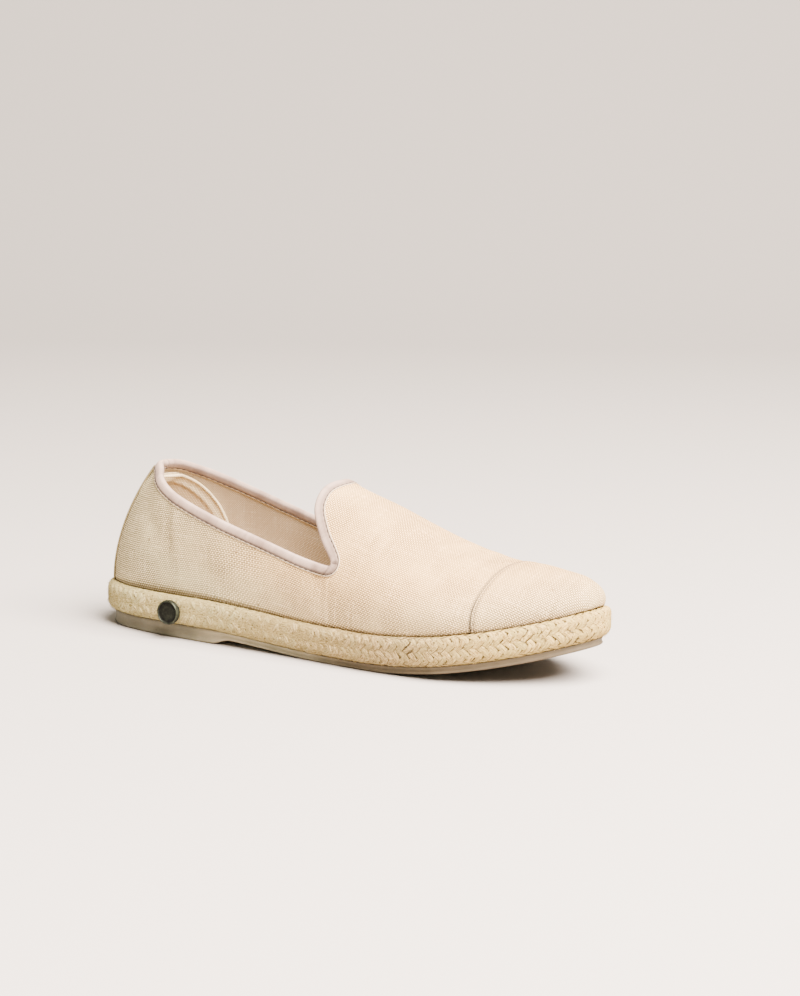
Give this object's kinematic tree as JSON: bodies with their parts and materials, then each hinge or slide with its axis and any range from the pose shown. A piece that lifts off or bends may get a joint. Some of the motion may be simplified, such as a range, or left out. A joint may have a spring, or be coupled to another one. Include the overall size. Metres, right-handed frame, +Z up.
{
  "type": "espadrille",
  "caption": "Closed slip-on espadrille: canvas upper with toe cap and bound collar on a braided rope sole with a rubber outsole and low heel block.",
  "frame": {"origin": "on the ground under the middle of the heel, on the flat face of the heel block", "axes": "+X from heel to toe, +Y towards the inner side of the foot, +Z up"},
  "size_m": [0.2624, 0.0857, 0.0762],
  "materials": {
    "outsole_rubber": "matt taupe rubber",
    "jute_rope": "braided natural jute rope",
    "insole_canvas": "tan woven cotton",
    "upper_canvas": "cream plain-weave cotton canvas",
    "cap_canvas": "cream plain-weave cotton canvas",
    "binding_tape": "smooth greyed pink cotton tape",
    "stay_twill": "olive twill tape",
    "counter_canvas": "light cotton patch with piped edge",
    "stud_metal": "aged dull brass"
  },
  "bodies": {
    "root": {"outsole": "outsole_rubber", "jute_midsole": "jute_rope", "insole": "insole_canvas", "upper": "upper_canvas", "toe_cap": "cap_canvas", "collar_binding": "binding_tape", "heel_stay": "stay_twill", "heel_counter": "counter_canvas", "side_stud": "stud_metal"}
  },
  "joints": []
}
